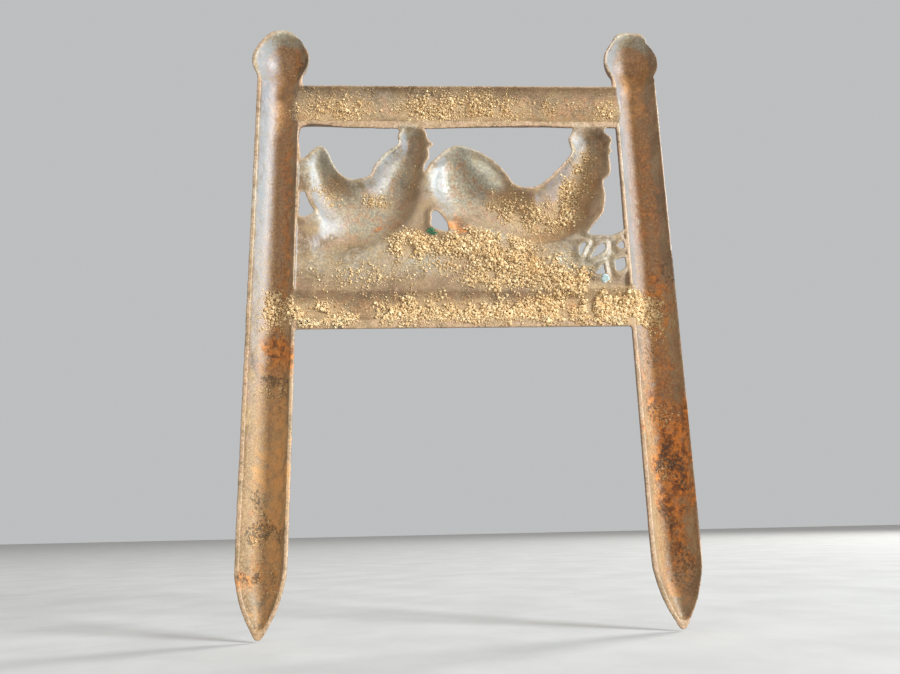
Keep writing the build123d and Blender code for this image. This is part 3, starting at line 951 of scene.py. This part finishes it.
class Surface:
    """A material under construction, with short calls for the nodes that it needs."""

    def __init__(self, name):
        self.material = bpy.data.materials.new(name)
        self.material.use_nodes = True
        self.tree = self.material.node_tree
        self.shader = self.tree.nodes["Principled BSDF"]
        scale = self.node("VectorMath")
        scale.operation = "SCALE"
        scale.inputs["Scale"].default_value = 1 / MM
        self.put(self.node("TexCoord").outputs["Object"], scale.inputs[0])
        self.place = scale.outputs[0]  # millimetres

    def put(self, value, socket):
        if isinstance(value, bpy.types.NodeSocket):
            self.tree.links.new(value, socket)
        else:
            socket.default_value = value

    def node(self, kind, **inputs):
        """A new node with values or links on its inputs."""
        node = self.tree.nodes.new("ShaderNode" + kind)
        for key, value in inputs.items():
            self.put(value, node.inputs[key])
        return node

    def noise(self, size, detail=4.0, rough=0.6, warp=0.0):
        """Noise from 0 to 1 with features about size millimetres across."""
        node = self.node("TexNoise", Vector=self.place, Scale=1 / size, Detail=detail)
        self.put(rough, node.inputs["Roughness"])
        self.put(warp, node.inputs["Distortion"])
        return node.outputs["Fac"]

    def mask(self, name):
        node = self.node("Attribute")
        node.attribute_name = name
        return node.outputs["Fac"]

    def math(self, kind, a, b):
        node = self.node("Math")
        node.operation = kind
        self.put(a, node.inputs[0])
        self.put(b, node.inputs[1])
        return node.outputs[0]

    def between(self, value, low, high, to_low=0.0, to_high=1.0):
        """Value stretched smoothly from low..high to to_low..to_high."""
        node = self.node("MapRange", Value=value)
        node.interpolation_type = "SMOOTHSTEP"
        for key, number in zip(("From Min", "From Max", "To Min", "To Max"), (low, high, to_low, to_high)):
            node.inputs[key].default_value = number
        return node.outputs["Result"]

    def mix(self, share, a, b):
        """Colour b over colour a."""
        node = self.node("Mix", Factor=share)
        node.data_type = "RGBA"
        self.put(a, node.inputs[6])
        self.put(b, node.inputs[7])
        return node.outputs[2]

    def tone(self, noise, low, high, first, second):
        """From the first to the second screen colour as the noise goes from low to high."""
        return self.mix(self.between(noise, low, high), linear(*first), linear(*second))

    def coat(self, colour, cover, strength, top):
        """A coat over a colour where the cover lies."""
        return self.mix(self.math("MULTIPLY", cover, strength), colour, top)

    def ragged(self, name, noise, soft=0.12, reach=1.0):
        """A mask whose edge is broken up by noise."""
        total = self.math("ADD", self.math("MULTIPLY", self.mask(name), reach), noise)
        return self.between(total, 1.0 - soft, 1.0 + soft)

    def bump(self, height, depth_mm, strength=1.0, under=None):
        node = self.node("Bump", Strength=strength, Distance=depth_mm * MM, Height=height)
        if under is not None:
            self.put(under, node.inputs["Normal"])
        return node.outputs["Normal"]

    def finish(self, colour, roughness, normal):
        self.put(colour, self.shader.inputs["Base Color"])
        self.put(roughness, self.shader.inputs["Roughness"])
        self.put(normal, self.shader.inputs["Normal"])
        return self.material


def iron_material():
    """Brown rusted iron with a grey film that is partly painted highlight, orange rust, dark scale, dust,
    worn rims and a painted highlight on the walls that face the key light.
    """
    s = Surface("rusty_iron")
    broad = s.noise(16, 6, 0.62, 0.6)
    middle = s.noise(4.5, 7, 0.68, 0.4)
    fine = s.noise(1.1, 6, 0.72)
    grain = s.noise(0.32, 3, 0.6)
    colour = s.tone(broad, 0.35, 0.65, (116, 92, 64), (160, 132, 96))
    colour = s.mix(s.between(middle, 0.42, 0.62, 0, 0.7), colour, linear(134, 94, 60))
    colour = s.mix(s.between(fine, 0.55, 0.72, 0, 0.55), colour, linear(204, 176, 136))
    weather = s.between(s.noise(22, 8, 0.7, 0.8), 0.38, 0.62, 0.35, 0.95)
    front_colour = s.tone(fine, 0.4, 0.62, (66, 47, 36), (112, 78, 54))
    colour = s.coat(colour, s.mask("front"), weather, front_colour)
    covers = {}
    for name, low, high, soft, strength, top in [
        ("rim", -0.1, 0.8, 0.3, 0.7, s.tone(fine, 0.35, 0.65, (168, 124, 88), (216, 184, 146))),
        # grey film, partly a painted highlight of pale sky reflection on the lit walls
        ("grey", 0.1, 0.75, 0.5, 0.72, s.tone(fine, 0.4, 0.62, (146, 150, 138), (200, 197, 172))),
        ("floor", 0.0, 0.8, 0.45, 0.85, s.tone(fine, 0.4, 0.65, (144, 94, 44), (188, 134, 72))),
        # painted highlight: pale blue-grey sheen colour on the walls that face the key light
        ("wall", 0.15, 0.75, 0.6, 0.7, linear(140, 148, 156)),
    ]:
        covers[name] = s.ragged(name, s.between(middle, 0.3, 0.7, low, high), soft)
        colour = s.coat(colour, covers[name], strength, top)
    rust = s.ragged("rust", s.between(middle, 0.32, 0.68, 0.0, 0.75), 0.5, 1.3)
    mottle = s.noise(2.6, 6, 0.66, 0.3)
    colour = s.coat(colour, rust, 0.9, s.tone(mottle, 0.38, 0.62, (112, 60, 20), (226, 136, 46)))
    dust = s.ragged("soil", s.between(fine, 0.3, 0.7, 0.05, 0.75), 0.4)
    colour = s.coat(colour, dust, 0.6, s.tone(grain, 0.4, 0.6, (150, 114, 74), (214, 184, 136)))
    speck = s.between(s.noise(0.75, 2, 0.5), 0.66, 0.72)
    colour = s.coat(colour, speck, 0.5, linear(222, 198, 152))
    tan = s.ragged("tan", s.between(middle, 0.3, 0.7, 0.0, 0.8), 0.4)
    colour = s.coat(colour, tan, 0.7, linear(214, 160, 98))
    dark = s.ragged("dark", s.between(s.noise(1.5, 5, 0.7), 0.36, 0.66, -0.35, 0.75), 0.3)
    colour = s.coat(colour, dark, 0.7, s.tone(grain, 0.45, 0.6, (38, 36, 30), (78, 74, 62)))
    worn = s.between(s.noise(7, 7, 0.68, 0.5), 0.36, 0.64, -0.45, 0.55)
    green = s.ragged("green", worn, 0.05)
    colour = s.mix(green, colour, s.tone(fine, 0.4, 0.6, (44, 84, 60), (86, 122, 84)))
    blue = s.ragged("blue", worn, 0.05)
    colour = s.mix(blue, colour, s.tone(fine, 0.4, 0.6, (150, 160, 158), (188, 196, 188)))
    red = s.ragged("red", s.between(middle, 0.4, 0.62, -0.2, 0.6), 0.05)
    colour = s.mix(red, colour, linear(140, 44, 34))

    rough = s.between(middle, 0.3, 0.7, 0.38, 0.6)
    rough = s.math("ADD", rough, s.math("MULTIPLY", dust, 0.3))
    rough = s.math("ADD", rough, s.math("MULTIPLY", rust, 0.22))
    rough = s.math("SUBTRACT", rough, s.math("MULTIPLY", covers["grey"], 0.1))
    normal = s.bump(middle, 0.35, 0.5)
    normal = s.bump(fine, 0.16, 0.7, normal)
    normal = s.bump(grain, 0.05, 0.6, normal)
    normal = s.bump(s.math("ADD", s.math("ADD", green, blue), red), 0.08, 0.8, normal)
    normal = s.bump(dark, -0.2, 0.7, normal)
    s.put(0.7, s.shader.inputs["Specular IOR Level"])
    return s.finish(colour, rough, normal)


def soil_material():
    """Dry sandy loam, each crumb a little different."""
    s = Surface("dry_soil")
    fine = s.noise(0.5, 4, 0.7)
    colour = s.mix(s.mask("tone"), linear(200, 162, 110), linear(242, 218, 172))
    colour = s.mix(s.between(fine, 0.5, 0.7, 0, 0.5), colour, linear(184, 138, 82))
    colour = s.mix(s.between(s.noise(9, 3, 0.5), 0.5, 0.7, 0, 0.4), colour, linear(226, 184, 124))
    return s.finish(colour, s.between(fine, 0.3, 0.7, 0.82, 0.98), s.bump(fine, 0.15, 0.8))


def paint_material(name, light, dark):
    """Old paint, chalky and dirty in its hollows."""
    s = Surface(name)
    middle = s.noise(1.6, 5, 0.65)
    colour = s.mix(s.between(middle, 0.35, 0.65), dark, light)
    colour = s.mix(s.between(s.noise(0.5, 4, 0.7), 0.56, 0.66, 0, 0.6), colour, linear(168, 138, 96))
    return s.finish(colour, s.between(middle, 0.3, 0.7, 0.35, 0.6), s.bump(middle, 0.12, 0.7))


def floor_material():
    """A pale, faintly mottled studio floor."""
    s = Surface("floor")
    cloud = s.noise(60, 5, 0.6)
    grain = s.noise(1.5, 3, 0.6)
    colour = s.tone(cloud, 0.3, 0.7, (190, 188, 184), (200, 198, 194))
    s.put(0.1, s.shader.inputs["Specular IOR Level"])
    return s.finish(colour, s.between(grain, 0.3, 0.7, 0.85, 1.0), s.bump(grain, 0.05, 0.3))


# ---- floor, light, camera

def add_floor():
    mesh = bpy.data.meshes.new("floor")
    half = 6.0  # metres
    corners = [(-half, -half, 0), (half, -half, 0), (half, half, 0), (-half, half, 0)]
    mesh.from_pydata(corners, [], [(0, 1, 2, 3)])
    floor = bpy.data.objects.new("floor", mesh)
    bpy.context.scene.collection.objects.link(floor)
    mesh.materials.append(floor_material())
    floor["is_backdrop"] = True


def add_light(name, place, size, power, colour=(1, 1, 1)):
    """A square soft light aimed at the middle of the panel."""
    data = bpy.data.lights.new(name, "AREA")
    data.size = size
    data.energy = power
    data.color = colour
    light = bpy.data.objects.new(name, data)
    aim = Vector((0, 0, HEIGHT / 2 * MM))
    light.location = place
    light.rotation_euler = (aim - Vector(place)).to_track_quat("-Z", "Y").to_euler()
    bpy.context.scene.collection.objects.link(light)


def add_world(colour, strength):
    world = bpy.data.worlds.new("studio")
    bpy.context.scene.world = world
    world.use_nodes = True
    background = world.node_tree.nodes["Background"]
    background.inputs["Color"].default_value = (*colour, 1)
    background.inputs["Strength"].default_value = strength


def add_camera():
    """Looks at the hollow back from below its middle, tilted up."""
    data = bpy.data.cameras.new("camera")
    data.sensor_width = 36
    data.lens = 30.12  # solved from the photo's perspective
    data.clip_start = 0.01
    data.clip_end = 50
    camera = bpy.data.objects.new("camera", data)
    right, up, back = (-0.9989, 0.0409, -0.0210), (-0.0103, 0.2475, 0.9688), (0.0448, 0.9680, -0.2468)
    turn = Matrix((right, up, back)).transposed().to_4x4()
    camera.matrix_world = Matrix.Translation((0.0236, RIM_Y * MM + 0.3493, 0.0460)) @ turn
    bpy.context.scene.collection.objects.link(camera)
    bpy.context.scene.camera = camera


hollow_plane, window_plane = build_casting(iron_material())
soil = soil_material()
for number, (place, low, high, coarse) in enumerate(SOIL_AREAS):
    add_soil(f"soil_{place}", low, high, coarse, hollow_plane, window_plane, soil, 11 + number)
green = paint_material("green_paint", linear(64, 132, 88), linear(30, 82, 58))
pale_blue = paint_material("pale_blue_paint", linear(190, 204, 200), linear(134, 156, 156))
green_spots = [(-16, 190.4, 1.9, 1.6), (-14, 188.8, 1.3, 0.8)]
pale_blue_spots = [(48, 174.6, 1.2, 2.2), (70.3, 164.6, 2.3, 1.9)]
add_film("green_paint_blob", green_spots, hollow_plane, green, 91)
add_film("pale_blue_paint_film", pale_blue_spots, hollow_plane, pale_blue, 95)
add_floor()
add_light("window", (-2.6, 1.72, 1.03), 1.0, 185, (0.86, 0.94, 1.0))
add_light("fill", (1.9, 2.1, 1.1), 2.0, 9, (1.0, 0.95, 0.9))
add_light("front", (-2.5, -1.3, 1.5), 0.8, 70)
add_world((0.93, 0.94, 0.95), 0.55)
add_camera()
bpy.context.scene.view_settings.view_transform = "Standard"

low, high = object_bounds()
